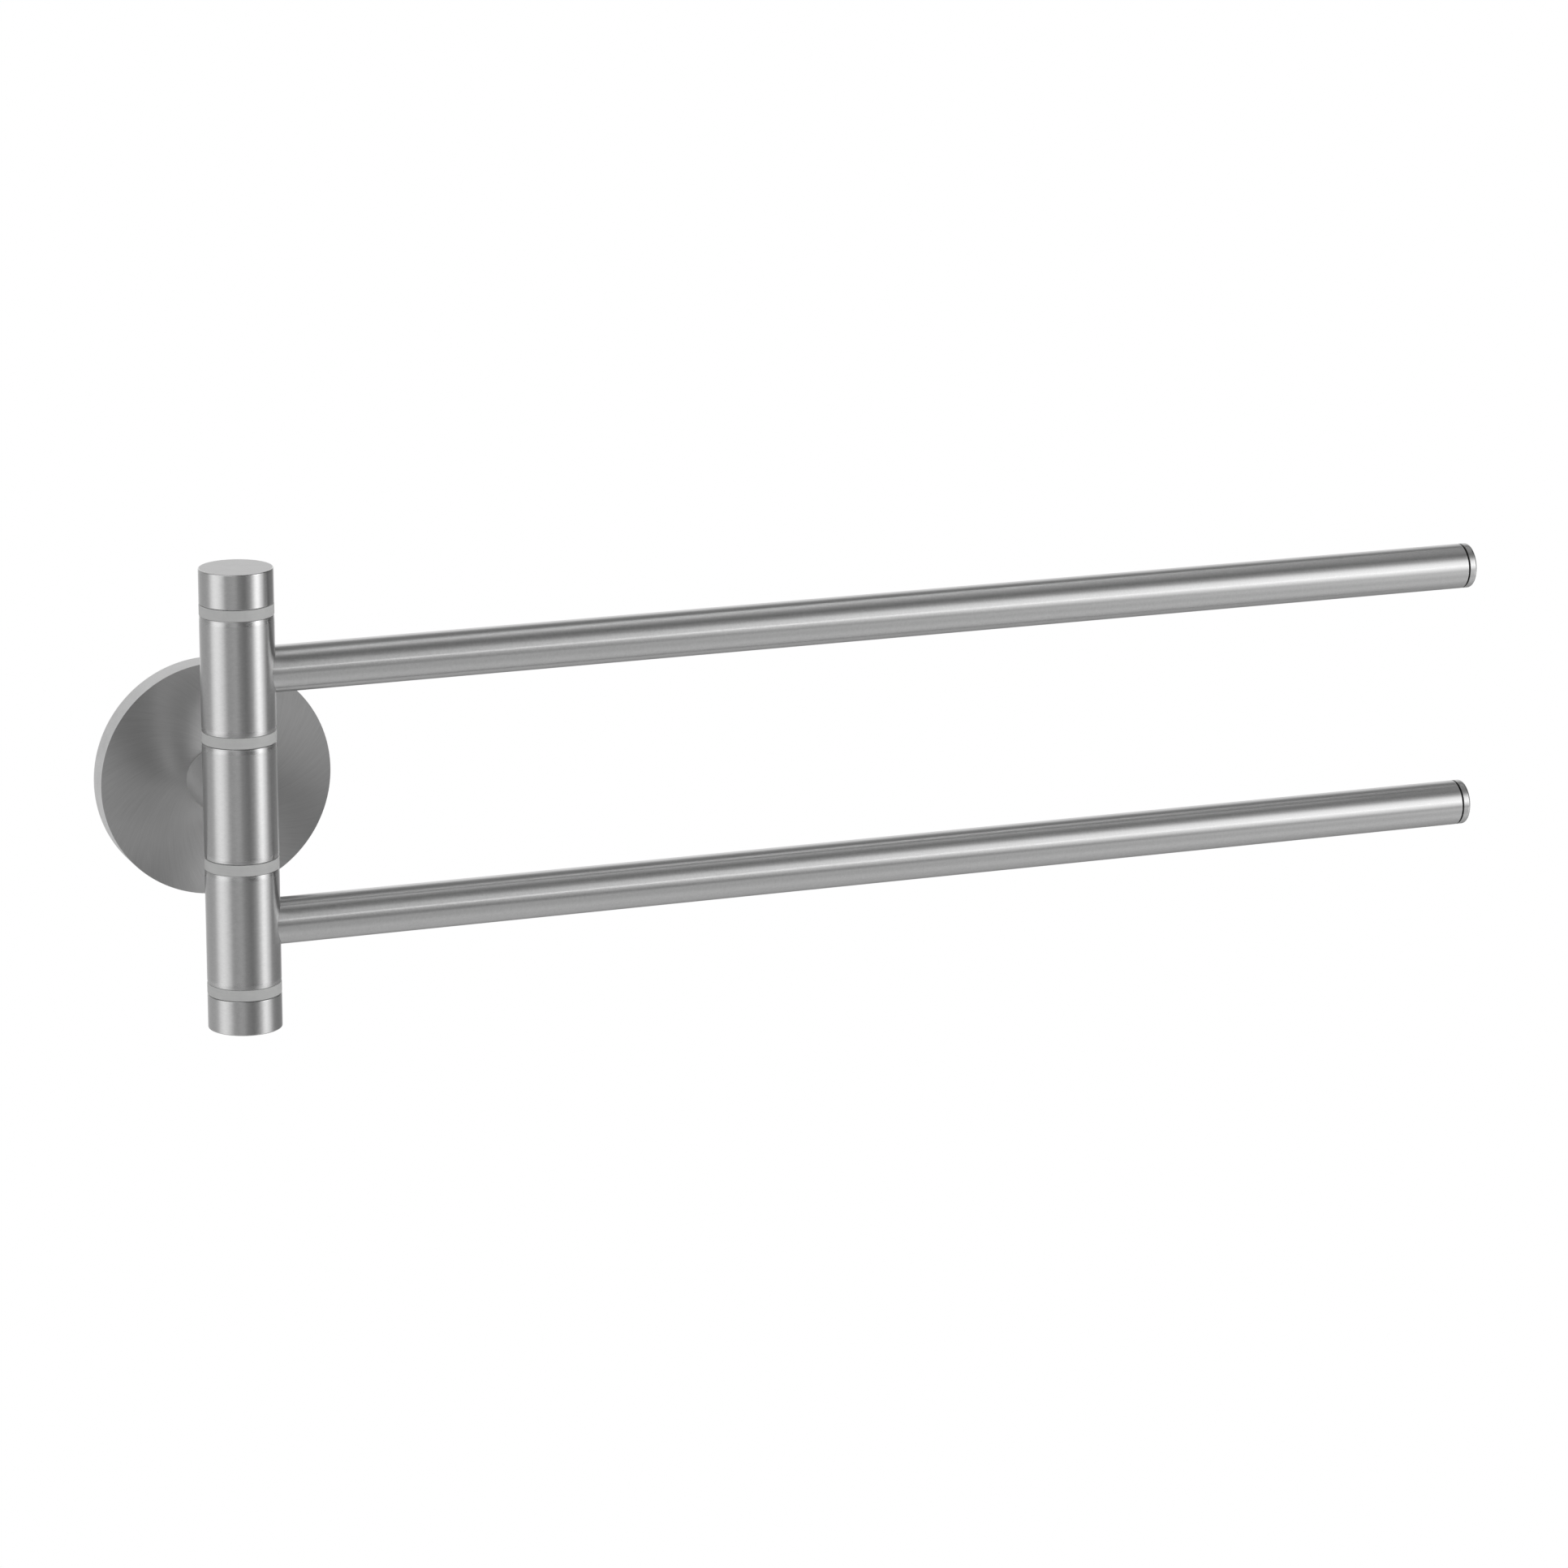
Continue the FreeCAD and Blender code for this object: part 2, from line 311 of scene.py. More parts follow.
# %% [markdown]
# ## Satin ends
# The rim of the rosette and the flat ends of caps and bars look even and pale, without bands. They were
# blasted or tumbled, so their roughness has no direction. The brushed finish without its anisotropy
# would still show lines, so they get a plain fine grain on Object coordinates, with a slow cloud in it
# where the blasting was uneven.

# %% The satin steel finish
SATIN_GRAIN = {"scale": 5200.0, "detail": 3.0}
SATIN_CLOUD = {"scale": 240.0, "detail": 2.0}
SATIN_CLOUD_SHARE = 0.4
SATIN_TONES = (0.74, 0.89)
SATIN_ROUGHNESS = (0.49, 0.61)


def object_noise(tree, scale, detail):
    """Noise that is fixed to a piece."""
    place = add(tree, "ShaderNodeTexCoord").outputs["Object"]
    inputs = {"Vector": place, "Scale": scale, "Detail": detail}
    return add(tree, "ShaderNodeTexNoise", inputs).outputs["Fac"]


def satin_steel():
    """Blasted steel: even, pale and fine-grained."""
    material, tree, shader = blank_finish("satin_steel_finish")
    grain = object_noise(tree, **SATIN_GRAIN)
    both = mixed(tree, SATIN_CLOUD_SHARE, grain, object_noise(tree, **SATIN_CLOUD))
    inputs = {
        "Base Color": noise_spread(tree, both, *SATIN_TONES),
        "Roughness": noise_spread(tree, both, *SATIN_ROUGHNESS),
        "Metallic": 1.0,
    }
    fill(tree, shader, inputs)
    bumped(tree, shader, grain, GRAIN_HEIGHT)
    return material


satin = satin_steel()
print("finish", satin.name, "tones", SATIN_TONES)

# %% [markdown]
# ## Milky nylon
# The rings between the steel lengths are the flanges of nylon bushes. Unfilled nylon is slightly
# translucent and scatters light below its surface, so its edges look soft. A grey paint could stand for
# it, but it would look hard beside the steel. A little subsurface scattering keeps it soft, and a faint
# cloudiness with turning marks keeps it from being one flat colour.

# %% The nylon finish
NYLON_MARKS = {"around": 1.5, "across": 2600.0, "detail": 2.0}
NYLON_CLOUD = {"scale": 420.0, "detail": 3.0}
NYLON_CLOUD_SHARE = 0.5
NYLON_DARK = (0.37, 0.372, 0.37, 1.0)
NYLON_LIGHT = (0.47, 0.472, 0.468, 1.0)
NYLON_ROUGHNESS = (0.42, 0.58)
NYLON_MARK_HEIGHT = 0.01 * MM
# A Mix node has sockets for every kind of data, and those for colours are at these places.
FIRST_COLOUR, SECOND_COLOUR, MIXED_COLOUR = 6, 7, 2


def blend(tree, share, first, second):
    """A colour between two others."""
    inputs = {"Factor": share, FIRST_COLOUR: first, SECOND_COLOUR: second}
    return add(tree, "ShaderNodeMix", inputs, data_type="RGBA").outputs[MIXED_COLOUR]


def milky_nylon():
    """Matte, slightly translucent moulded nylon."""
    material, tree, shader = blank_finish("milky_nylon_finish")
    turn, along = brush_place(tree)
    marks = scratches(tree, turn, along, **NYLON_MARKS)
    both = mixed(tree, NYLON_CLOUD_SHARE, marks, object_noise(tree, **NYLON_CLOUD))
    inputs = {
        "Base Color": blend(tree, both, NYLON_DARK, NYLON_LIGHT),
        "Roughness": spread(tree, both, *NYLON_ROUGHNESS),
        "IOR": 1.53,
        "Subsurface Weight": 0.3,
        "Subsurface Radius": (1.0, 1.0, 1.0),
        "Subsurface Scale": 0.8 * MM,
    }
    fill(tree, shader, inputs)
    bumped(tree, shader, marks, NYLON_MARK_HEIGHT)
    return material


nylon = milky_nylon()
print("finish", nylon.name, "colours", NYLON_DARK[:3], NYLON_LIGHT[:3])

# %% [markdown]
# ## Zinc plating
# What the rosette and the tubes hide is plain mild steel with a zinc coat: the wall plate, the bolt,
# the screws, the plugs and the spindle. Zinc sets in small cells of slightly different grey. Noise
# would let them run into each other, but a Voronoi texture keeps them apart. The pieces that never show
# keep their CAD meshes and only take this finish.

# %% The zinc finish
ZINC_CELL_SCALE = 700.0
ZINC_SCUFFS = {"scale": 160.0, "detail": 5.0}
ZINC_SCUFF_SHARE = 0.6
ZINC_DARK = (0.46, 0.47, 0.49, 1.0)
ZINC_LIGHT = (0.66, 0.66, 0.65, 1.0)
ZINC_ROUGHNESS = (0.30, 0.50)
ZINC_CELL_HEIGHT = 0.02 * MM
ZINC_CELL_STRENGTH = 0.15


def zinc_plate():
    """Plated steel with a faint cell pattern and soft scuffs."""
    material, tree, shader = blank_finish("zinc_plated_finish")
    place = add(tree, "ShaderNodeTexCoord").outputs["Object"]
    cells = add(tree, "ShaderNodeTexVoronoi", {"Vector": place, "Scale": ZINC_CELL_SCALE})
    cell_tone = add(tree, "ShaderNodeSeparateColor", {0: cells.outputs["Color"]}).outputs[0]
    both = mixed(tree, ZINC_SCUFF_SHARE, cell_tone, object_noise(tree, **ZINC_SCUFFS))
    inputs = {
        "Base Color": blend(tree, both, ZINC_DARK, ZINC_LIGHT),
        "Roughness": noise_spread(tree, both, *ZINC_ROUGHNESS),
        "Metallic": 1.0,
    }
    fill(tree, shader, inputs)
    bumped(tree, shader, both, ZINC_CELL_HEIGHT, ZINC_CELL_STRENGTH)
    return material


zinc = zinc_plate()
hidden_nodes = ["wall_plate", "spindle"]
for arm in ("upper", "lower"):
    hidden_nodes += [arm + "_rail_plug", arm + "_rail_screw"]
for node in hidden_nodes:
    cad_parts[node].material_slots[0].material = zinc
print("finish", zinc.name, "on CAD nodes", hidden_nodes)

# %% [markdown]
# ## One rule for every turned piece
# A lathe turns an outline about an axis, and almost everything here comes off a lathe. Screw modifiers
# or a loop over vertices could do it. A Geometry Nodes tree says the rule best: a grid whose columns go
# once round and whose rows are the points of the outline, with each grid point moved to its place. It
# is built in three steps, and the first gives it named inputs. A modifier later sets them by the
# identifiers kept here.

# %% Inputs of the turning tree
TURNING_INPUTS = {
    "Outline": "Geometry",
    "Sides": "Int",
    "Cope Radius": "Float",
    "Weld Distance": "Float",
    "Finish": "Material",
    "End Station": "Float",
    "End Finish": "Material",
}


def named_inputs(tree):
    """Adds the inputs and the output to a tree, and returns each input's identifier by its name."""
    identifiers = {}
    for name, kind in TURNING_INPUTS.items():
        socket = tree.interface.new_socket(name=name, in_out="INPUT", socket_type="NodeSocket" + kind)
        identifiers[name] = socket.identifier
    tree.interface.new_socket(name="Piece", in_out="OUTPUT", socket_type="NodeSocketGeometry")
    return identifiers


turning = bpy.data.node_groups.new("turned_piece", "GeometryNodeTree")
turning_inputs = named_inputs(turning)
print("tree", turning.name, "inputs", turning_inputs)

# %% [markdown]
# ## Where a point of the grid goes
# A grid point takes its radius and station from its row of the outline, and its angle from its column.
# The bars and the neck meet the post, so their ends are coped, which means cut to the post's curve. A
# Boolean cut could do that, but it leaves thin slivers. Here a point that would lie inside the post
# moves along the piece to the post's surface, so the rows stay whole. The flat face at the end of a
# piece may have a finish of its own, and the last helper finds it.

# %% Rows, copes and end faces
FLAT_ENOUGH = 0.99


def of_row(tree, outline, row, value, kind="FLOAT"):
    """A value at the outline's point with a row's number."""
    inputs = {"Geometry": outline, "Value": value, "Index": row}
    return add(tree, "GeometryNodeSampleIndex", inputs, data_type=kind, domain="POINT").outputs[0]


def stored(tree, name):
    """A number that points carry under a name."""
    return add(tree, "GeometryNodeInputNamedAttribute", {"Name": name}, data_type="FLOAT").outputs[0]


def turned_place(tree, radius, station, turn, cope):
    """Place of a point turned about Z, and kept out of a cylinder along Y where cope is its radius."""
    across = calculate(tree, "MULTIPLY", radius, calculate(tree, "COSINE", turn))
    level = calculate(tree, "MULTIPLY", radius, calculate(tree, "SINE", turn))
    cope_square = calculate(tree, "MULTIPLY", cope, cope)
    rest = calculate(tree, "SUBTRACT", cope_square, calculate(tree, "MULTIPLY", across, across))
    curve = calculate(tree, "SQRT", calculate(tree, "MAXIMUM", rest, 0.0))
    is_coped = calculate(tree, "GREATER_THAN", cope, 0.0)
    height = mixed(tree, is_coped, station, calculate(tree, "MAXIMUM", station, curve))
    return add(tree, "ShaderNodeCombineXYZ", {0: across, 1: level, 2: height}).outputs[0]


def on_end_face(tree, end_station, weld_distance):
    """True on the flat faces at a piece's end station."""
    place = parts_of(tree, add(tree, "GeometryNodeInputPosition").outputs[0])
    facing = parts_of(tree, add(tree, "GeometryNodeInputNormal").outputs[0])
    flat = calculate(tree, "GREATER_THAN", calculate(tree, "ABSOLUTE", facing["Z"]), FLAT_ENOUGH)
    gap = calculate(tree, "ABSOLUTE", calculate(tree, "SUBTRACT", place["Z"], end_station))
    return calculate(tree, "MULTIPLY", flat, calculate(tree, "LESS_THAN", gap, weld_distance))


print("end faces are flat to within degrees", round(math.degrees(math.acos(FLAT_ENOUGH)), 1))

# %% [markdown]
# ## The turning tree
# On a real lathe a rod goes in rough and comes out finished, and the tree does the same. Maps and
# finishes could be left to later loops over the faces, but here they come for free: a column is a turn
# of the brush map, and a row is a length along the outline. So the tree stores the map and the edges on
# the grid, moves its points, welds the seam and the poles, and sets both finishes.

# %% Join the turning tree
ALONG = "along"


def outline_grid(tree, given):
    """A grid with a row for each point of the outline, and its points' place, brush map and edge."""
    outline = given["Outline"]
    count = add(tree, "GeometryNodeAttributeDomainSize", {0: outline}, component="MESH").outputs[0]
    columns = calculate(tree, "ADD", given["Sides"], 1.0)
    grid = add(tree, "GeometryNodeMeshGrid", {"Vertices X": columns, "Vertices Y": count}).outputs
    cell = parts_of(tree, grid["UV Map"])
    last_row = calculate(tree, "SUBTRACT", count, 1.0)
    row = calculate(tree, "ROUND", calculate(tree, "MULTIPLY", cell["Y"], last_row))
    turn = calculate(tree, "MULTIPLY", cell["X"], math.tau)
    own_place = add(tree, "GeometryNodeInputPosition").outputs[0]
    point = parts_of(tree, of_row(tree, outline, row, own_place, "FLOAT_VECTOR"))
    place = turned_place(tree, point["X"], point["Z"], turn, given["Cope Radius"])
    along = of_row(tree, outline, row, stored(tree, ALONG))
    brush = add(tree, "ShaderNodeCombineXYZ", {0: cell["X"], 1: along}).outputs[0]
    return grid["Mesh"], place, brush, of_row(tree, outline, row, stored(tree, EDGE))


def join_turning(tree):
    """Turns an outline, held as x for radius and z for station, about the Z axis."""
    given = add(tree, "NodeGroupInput").outputs
    shape, place, brush, edge = outline_grid(tree, given)
    weld = given["Weld Distance"]
    end_face = on_end_face(tree, given["End Station"], weld)
    on_corners = {"data_type": "FLOAT2", "domain": "CORNER"}
    on_points = {"data_type": "FLOAT", "domain": "POINT"}
    steps = (
        ("GeometryNodeStoreNamedAttribute", {"Name": BRUSH, "Value": brush}, on_corners),
        ("GeometryNodeStoreNamedAttribute", {"Name": EDGE, "Value": edge}, on_points),
        ("GeometryNodeSetPosition", {"Position": place}, {}),
        ("GeometryNodeMergeByDistance", {"Distance": weld}, {}),
        ("GeometryNodeSetShadeSmooth", {}, {}),
        ("GeometryNodeRealizeInstances", {}, {}),
        ("GeometryNodeSetMaterial", {"Material": given["Finish"]}, {}),
        ("GeometryNodeSetMaterial", {"Material": given["End Finish"], "Selection": end_face}, {}),
    )
    for kind, inputs, properties in steps:
        shape = add(tree, kind, {"Geometry": shape, **inputs}, **properties).outputs[0]
    add(tree, "NodeGroupOutput", {0: shape})


join_turning(turning)
print("tree", turning.name, "nodes", len(turning.nodes))

# %% [markdown]
# ## Outlines with real edges
# No turned edge is a perfect corner: a file takes it off, and the narrow round that is left catches the
# light as a bright line. A Bevel modifier could round the edges later, but all alike. So an outline is
# a list of corners, each a radius, a station and the round of its own edge, and arcs replace the
# rounded corners. One extra point on each side of an arc keeps the flats beside it flat when the mesh
# is shaded smooth. A corner deep in a joint has SEAM in place of a round, and gets painted shade.

# %% From corners to points
ARC_STEPS = 7
HOLD = 0.04 * MM
# Marks a corner in a joint, where the metal's colour gets painted shade.
SEAM = -1.0
ON_FLAT, ON_ARC = 0.0, 1.0


def rounded(before, corner, after, radius):
    """Points of the arc that replaces a corner, and of the flats just before and after it."""
    to_before = (before - corner).normalized()
    to_after = (after - corner).normalized()
    half_angle = to_before.angle(to_after) / 2
    trim = radius / math.tan(half_angle)
    centre = corner + (to_before + to_after).normalized() * (radius / math.sin(half_angle))
    first = corner + to_before * trim
    last = corner + to_after * trim
    points = [(*(first + to_before * HOLD), ON_FLAT)]
    for step in range(ARC_STEPS + 1):
        direction = (first - centre).slerp(last - centre, step / ARC_STEPS)
        points.append((*(centre + direction.normalized() * radius), ON_ARC))
    return points + [(*(last + to_after * HOLD), ON_FLAT)]


def outline_points(corners, closed):
    """Points (radius, station, edge) along an outline; a closed one comes back to its first point."""
    places = [Vector((radius, station)) for radius, station, _ in corners]
    points = []
    for index, (*_, edge_round) in enumerate(corners):
        open_end = not closed and index in (0, len(corners) - 1)
        if edge_round <= 0 or open_end:
            points.append((*places[index], SEAM if edge_round == SEAM else ON_FLAT))
            continue
        after = places[(index + 1) % len(places)]
        points += rounded(places[index - 1], places[index], after, edge_round)
    return points + points[:1] if closed else points


print("outline arcs have", ARC_STEPS, "steps")

# %% [markdown]
# ## From an outline to a plain mesh
# A piece comes off the lathe with burrs, and is cleaned up before it is fitted. A mesh could keep its
# modifier, but exports are safest on a plain mesh. So the evaluated shape becomes the mesh, doubles and
# faces of no area go, normals face out, and real corners are marked sharp. Each outline starts its
# length where the last one ended, so that no two pieces share their scratches.

# %% Outlines in, plain meshes out
WELD = 0.0005 * MM
SHARP = math.radians(32)
outline_ends = [0.0]


def outline_mesh(name, corners, closed):
    """A line of points that carry their length along the outline and their kind of edge."""
    points = outline_points(corners, closed)
    along = [outline_ends[-1]]
    for before, after in zip(points, points[1:]):
        along.append(along[-1] + math.dist(before[:2], after[:2]))
    outline_ends.append(along[-1])
    mesh = bpy.data.meshes.new(name)
    links = [(index, index + 1) for index in range(len(points) - 1)]
    mesh.from_pydata([(radius, 0, station) for radius, station, _ in points], links, [])
    for attribute, values in ((ALONG, along), (EDGE, [edge for *_, edge in points])):
        mesh.attributes.new(attribute, "FLOAT", "POINT").data.foreach_set("value", values)
    return mesh


def settle(piece):
    """Turns an object's evaluated shape into its plain mesh, welded, facing out and sharp at corners."""
    evaluated = piece.evaluated_get(bpy.context.evaluated_depsgraph_get())
    mesh = bpy.data.meshes.new_from_object(evaluated)
    piece.modifiers.clear()
    piece.data = mesh
    shape = bmesh.new()
    shape.from_mesh(mesh)
    bmesh.ops.remove_doubles(shape, verts=shape.verts, dist=WELD)
    bmesh.ops.dissolve_degenerate(shape, edges=shape.edges, dist=WELD)
    bmesh.ops.recalc_face_normals(shape, faces=shape.faces)
    shape.to_mesh(mesh)
    shape.free()
    mesh.polygons.foreach_set("use_smooth", [True] * len(mesh.polygons))
    mesh.set_sharp_from_angle(angle=SHARP)


print("welded at mm", round(WELD / MM, 4), "and sharp from degrees", round(math.degrees(SHARP)))

# %% [markdown]
# ## From a plain mesh to a piece in its place
# Each steel length, ring and screw of the rail comes from the same few moves, so one function makes
# them all. A piece could stand where an object's location and rotation put it, but patterns on Object
# coordinates would then slide in an export that sets every object at the origin. So a matrix moves the
# points themselves.

# %% Turn a piece
SIDES = 192


def turned(name, corners, place, finish, end_finish=None, closed=False, cope=0.0, sides=SIDES):
    """A turned piece from (radius, station, round) corners, set in place by a matrix."""
    piece = bpy.data.objects.new(name, outline_mesh(name, corners, closed))
    bpy.context.scene.collection.objects.link(piece)
    modifier = piece.modifiers.new("turning", "NODES")
    modifier.node_group = turning
    values = {
        "Sides": sides,
        "Cope Radius": cope,
        "Weld Distance": WELD,
        "Finish": finish,
        "End Station": max(station for _, station, _ in corners),
        "End Finish": end_finish or finish,
    }
    for key, value in values.items():
        modifier[turning_inputs[key]] = value
    settle(piece)
    piece.data.transform(place)
    return piece


print("turned pieces have", SIDES, "sides")

# %% [markdown]
# ## The sleeve of the post
# Five steel lengths of one diameter stand on each other: a cap, a turning hub, the fixed sleeve, the
# other hub and the lower cap. One long cylinder with grooves would look alike from afar, but then the
# hubs couldn't turn, so each length is a tube of its own. A polishing wheel draws a tube's ends in by a
# hair, and a very flat round between the full radius and the end shows that. Stations are measured from
# the middle of the post, outwards, so that one outline serves the upper and the lower half.

# %% Turn the sleeve
POST_EDGE = 0.2 * MM
CROWN_LENGTH = 1.0 * MM
CROWN_DROP = 0.10 * MM
CROWN_ROUND = 9.0 * MM
PRESS_GAP = 0.01 * MM


def stood_up(base, axis, across):
    """Matrix that takes the lathe's Z to axis and its X to across, from a base point."""
    turn = Matrix((across, axis.cross(across), axis)).transposed()
    return Matrix.Translation(base) @ turn.to_4x4()


def tube_corners(bore, start, end):
    """Outline of a short tube of the post's diameter, with ends that polishing has drawn in."""
    low = post_radius - CROWN_DROP
    return [
        (bore, start, 0),
        (low, start, POST_EDGE),
        (post_radius, start + CROWN_LENGTH, CROWN_ROUND),
        (post_radius, end - CROWN_LENGTH, CROWN_ROUND),
        (low, end, POST_EDGE),
        (bore, end, 0),
    ]


def dress(piece, body, node):
    """Lets a piece ride on its body in place of a CAD node, and says what it is."""
    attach(piece, body)
    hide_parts(node)
    size = [round(value / MM, SIZE_DIGITS) for value in piece.dimensions]
    print(piece.name, "for", node, "faces", len(piece.data.polygons), "size mm", size)


upright = stood_up(post_centre, UP, RIGHT)
sleeve_end = span("middle_sleeve", Z)[1]
sleeve_corners = tube_corners(spindle_radius + PRESS_GAP, -sleeve_end, sleeve_end)
sleeve = turned("post_sleeve", sleeve_corners, upright, steel, closed=True)
dress(sleeve, "wall_bracket", "middle_sleeve")

# %% [markdown]
# ## Drilled holes
# Screws go through walls of the hubs and the rosette, and keys into the ends of screws. Such a hole
# could be a gap in the rows of the grid, but it runs across them. A Boolean modifier cuts it as a drill
# does, and leaves a closed mesh. A drill runs over a little, so that no thin skin is left.

# %% A drill and its cut
DRILL_SIDES = 64
DRILL_OVERRUN = 1.0 * MM


def drill(radius, start, axis, length, sides=DRILL_SIDES):
    """A straight round or many-sided drill from a start point along an axis."""
    across = UP if axis == RIGHT else RIGHT
    place = stood_up(start + axis * (length / 2), axis, across)
    shape = bmesh.new()
    bmesh.ops.create_cone(shape, cap_ends=True, segments=sides, radius1=radius, radius2=radius,
                          depth=length, matrix=place)
    mesh = bpy.data.meshes.new("drill")
    shape.to_mesh(mesh)
    shape.free()
    tool = bpy.data.objects.new("drill", mesh)
    bpy.context.scene.collection.objects.link(tool)
    return tool


def bored(piece, tool):
    """Cuts a drill out of a piece, and deletes the drill."""
    cut = piece.modifiers.new("bore", "BOOLEAN")
    cut.object = tool
    cut.operation = "DIFFERENCE"
    cut.solver = "EXACT"
    settle(piece)
    bpy.data.objects.remove(tool)


print("drills have", DRILL_SIDES, "sides and run over by mm", round(DRILL_OVERRUN / MM, SIZE_DIGITS))

# %% [markdown]
# ## Hubs
# A hub is the length of the post that turns with a bar. A screw from inside the hub draws the bar
# against it, so the hub's wall has a hole behind the bar. The bar hides that hole, and a plain tube
# would do for a picture, but then the screw and the wall would share one space.

# %% A hub with its hole
HUB_WALL = 2.0 * MM
RAIL_SCREW_HOLE = 2.2 * MM

hub_start, hub_end = span("upper_hub", Z)
hub_bore = post_radius - HUB_WALL
rail_level = (hub_start + hub_end) / 2


def post_hub(arm, outward, place):
    """One turning length of the post, with the hole for its bar's screw."""
    corners = tube_corners(hub_bore, hub_start, hub_end)
    hub = turned(arm + "_hub_tube", corners, place, steel, closed=True)
    bar_centre = post_centre + outward * rail_level
    bored(hub, drill(RAIL_SCREW_HOLE, bar_centre, RIGHT, post_radius + 2 * DRILL_OVERRUN))
    dress(hub, arm + "_arm", arm + "_hub")


print("hubs from mm", round(hub_start / MM, SIZE_DIGITS), "to", round(hub_end / MM, SIZE_DIGITS))

# %% [markdown]
# ## Caps
# A cap closes each end of the post and holds the stack together, because it is screwed on the spindle.
# A plain disc would look the same from outside. This one has the blind hole for the spindle in its
# outline, so that no two pieces share one space. The lower half of the post is the upper one, stood on
# its head.

# %% Both halves of the post
CAP_EDGE = 0.3 * MM
THREAD_GAP = 0.05 * MM

cap_start, cap_end = span("top_cap", Z)
spindle_end = span("spindle", Z)[1]
upside_down = stood_up(post_centre, DOWN, RIGHT)
HALVES = {"upper": (UP, upright, "top"), "lower": (DOWN, upside_down, "bottom")}


def post_cap(side, place):
    """A cap with a blind hole for the spindle's end."""
    thread = spindle_radius + THREAD_GAP
    corners = [
        (0, spindle_end, 0),
        (thread, spindle_end, 0),
        (thread, cap_start, 0),
        (post_radius, cap_start, POST_EDGE),
        (post_radius, cap_end, CAP_EDGE),
        (0, cap_end, 0),
    ]
    cap = turned(side + "_post_cap", corners, place, steel, satin)
    dress(cap, "wall_bracket", side + "_cap")


for arm, (outward, place, side) in HALVES.items():
    post_hub(arm, outward, place)
    post_cap(side, place)

# %% [markdown]
# ## Swivel bushes
# Each hub runs on two nylon bushes. Only their flanges show, as pale rings, so four plain rings would
# do for a picture. The collars that sit in the hub are modelled too, because ring and collar are one
# moulding.

# %% The four bushes
FLANGE_EDGE = 0.2 * MM
RUNNING_GAP = 0.05 * MM

inner_flange, inner_collar = span("upper_hub_bottom_bush", Z)
outer_collar, outer_flange = span("upper_hub_top_bush", Z)


def bush(arm, label, place, hub_face, collar_end, flange_face):
    """One flanged bush: collar into the hub, flange outside it."""
    bore = spindle_radius + RUNNING_GAP
    collar = hub_bore - PRESS_GAP
    corners = [
        (bore, flange_face, 0),
        (post_radius, flange_face, FLANGE_EDGE),
        (post_radius, hub_face, FLANGE_EDGE),
        (collar, hub_face, 0),
        (collar, collar_end, 0),
        (bore, collar_end, 0),
    ]
    ring = turned(arm + "_" + label + "_ring", corners, place, nylon, closed=True)
    dress(ring, arm + "_arm", arm + "_hub_" + label + "_bush")


for arm, (_, place, side) in HALVES.items():
    inner_side = "bottom" if side == "top" else "top"
    bush(arm, inner_side, place, hub_start, inner_collar, inner_flange)
    bush(arm, side, place, hub_end, outer_collar, outer_flange)

# %% [markdown]
# ## The bars
# A bar is a thin tube whose inner end is coped to the hub, so that no gap shows where they meet. It
# could be a solid rod that runs into the hub, but its plug and screw need the room inside. The outline
# starts at the post's axis, and the cope in the turning tree moves that end out to the hub's face. A
# ring of points just past the hub keeps the rest of the tube straight.

# %% Tubes of the bars
RAIL_WALL = 1.0 * MM
RAIL_END_EDGE = 0.2 * MM
COPE_MARGIN = 1.5 * MM

rail_end = span("upper_rail", X)[1]
rail_bore = rail_radius - RAIL_WALL


def bar_tube(arm, place):
    """A tube, coped to its hub, with painted shade in a seam inside its outer end."""
    past_hub = post_radius + COPE_MARGIN
    corners = [
        (rail_bore, 0, 0),
        (rail_radius, 0, 0),
        (rail_radius, past_hub, 0),
        (rail_radius, rail_end, RAIL_END_EDGE),
        (rail_bore, rail_end, SEAM),
        (rail_bore, past_hub, 0),
    ]
    bar = turned(arm + "_bar", corners, place, steel, closed=True, cope=post_radius + PRESS_GAP)
    dress(bar, arm + "_arm", arm + "_rail")


print("bar wall mm", round((rail_radius - rail_bore) / MM, SIZE_DIGITS))

# %% [markdown]
# ## End caps of the bars
# A pressed cap closes the outer end of each bar. It stands off the tube by a narrow groove, which reads
# as a black line. The line could be painted on, but a real groove keeps its width and its shadow from
# every side. Painted shade darkens the seams in it further, where little light gets in. The spigot goes
# on into the tube.

# %% Both bars and their end caps
GROOVE_WIDTH = 0.35 * MM
CAP_END_EDGE = 0.7 * MM

spigot_end, rail_reach = span("upper_rail_end_cap", X)
cap_head = rail_end + GROOVE_WIDTH


def bar_end(arm, place):
    """A cap with a spigot in the tube and a groove behind its head, darkened with painted shade."""
    spigot = rail_bore - PRESS_GAP
    corners = [
        (0, spigot_end, 0),
        (spigot, spigot_end, 0),
        (spigot, rail_end, SEAM),
        (spigot, cap_head, SEAM),
        (rail_radius - RAIL_END_EDGE, cap_head, SEAM),
        (rail_radius, cap_head + RAIL_END_EDGE / 2, 0),
        (rail_radius, rail_reach, CAP_END_EDGE),
        (0, rail_reach, 0),
    ]
    end = turned(arm + "_bar_end", corners, place, steel, satin)
    dress(end, arm + "_arm", arm + "_rail_end_cap")


for arm, (outward, *_) in HALVES.items():
    along_bar = stood_up(post_centre + outward * rail_level, RIGHT, INTO_WALL)
    bar_tube(arm, along_bar)
    bar_end(arm, along_bar)

# %% [markdown]
# ## The rosette
# The rosette is a turned cup that hides the wall plate. A solid disc would show the same front, but it
# would fill the room of the plate and of the bolt's head. The cup is turned with more sides than the
# rest, because its outline is the largest curve in the picture. A hole in its rim lets a set screw
# through from below.

